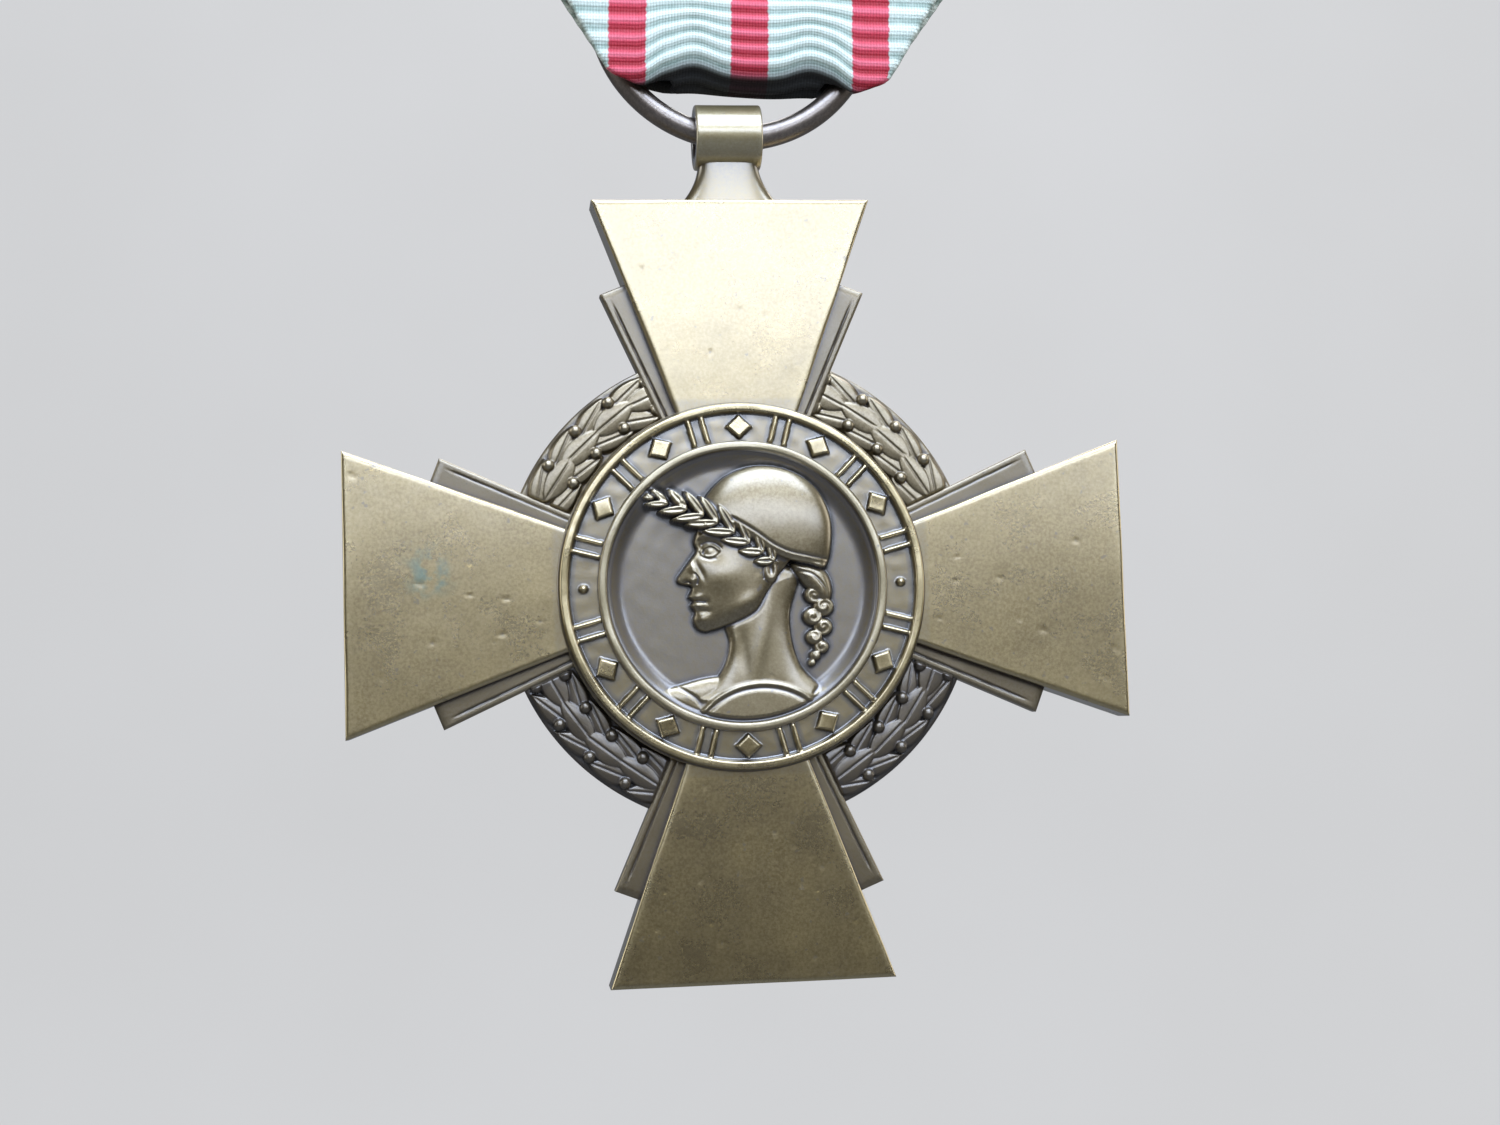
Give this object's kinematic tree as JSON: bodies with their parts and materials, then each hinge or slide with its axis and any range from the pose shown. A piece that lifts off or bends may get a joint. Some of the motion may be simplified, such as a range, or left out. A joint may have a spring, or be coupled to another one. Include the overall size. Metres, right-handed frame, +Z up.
{
  "type": "medal",
  "caption": "Bronze cross medal with laurel wreath and portrait medallion, hung by a ring from a folded striped ribbon on a pin brooch.",
  "frame": {"origin": "middle of the brooch pin's shank", "axes": "+Z up along the hanging medal, +X to the viewer's right, the medal's front faces -Y"},
  "size_m": [0.038, 0.005, 0.0807],
  "materials": {
    "bronze": "worn olive-brown bronze patina",
    "dark_bronze": "darker bronze patina",
    "portrait_bronze": "satin bronze, worn bright on the high spots",
    "ring_metal": "tarnished wire",
    "ribbon_fabric": "ribbed silk-like weave, red stripes",
    "thread": "matte thread",
    "brooch_brass": "satin",
    "pin_steel": "satin"
  },
  "bodies": {
    "brooch": {"ribbon_upper": "ribbon_fabric", "hem_stitches": "thread", "brooch_plate": "brooch_brass", "pivot_rivet": "brooch_brass", "catch_hook": "brooch_brass"},
    "pin": {"brooch_pin": "pin_steel"},
    "ribbon_fold": {"ribbon_fold": "ribbon_fabric"},
    "ring": {"ring": "ring_metal"},
    "cross": {"cross_arms": "bronze", "ray_bars": "bronze", "wreath_plate": "dark_bronze", "laurel_leaves": "dark_bronze", "laurel_berries": "dark_bronze", "medallion_band": "dark_bronze", "outer_rim": "bronze", "inner_rim": "bronze", "rim_ornament": "bronze", "portrait_helmet": "portrait_bronze", "portrait_head": "portrait_bronze", "portrait_collar": "portrait_bronze", "portrait_hair": "portrait_bronze", "portrait_laurel": "portrait_bronze", "reverse_rim": "bronze", "reverse_sword": "bronze", "bail_neck": "bronze", "bail_tube": "bronze"}
  },
  "joints": [
    {"name": "pin_swing", "type": "hinge", "parent": "brooch", "child": "pin", "pos_m": [-0.0138, 0, 0], "axis": [0, 1, 0], "range_deg": [0, 30]},
    {"name": "ribbon_flex", "type": "hinge", "parent": "brooch", "child": "ribbon_fold", "pos_m": [0, -0.0022, -0.015], "axis": [1, 0, 0], "range_deg": [-45, 45]},
    {"name": "ring_sway", "type": "hinge", "parent": "ribbon_fold", "child": "ring", "pos_m": [-0.0006, -0.0022, -0.03142], "axis": [0, 1, 0], "range_deg": [-10, 10]},
    {"name": "cross_swing", "type": "hinge", "parent": "ring", "child": "cross", "pos_m": [-0.00094, -0.0022, -0.03781], "axis": [0.9995, 0, 0.0314], "range_deg": [-120, 120]}
  ]
}
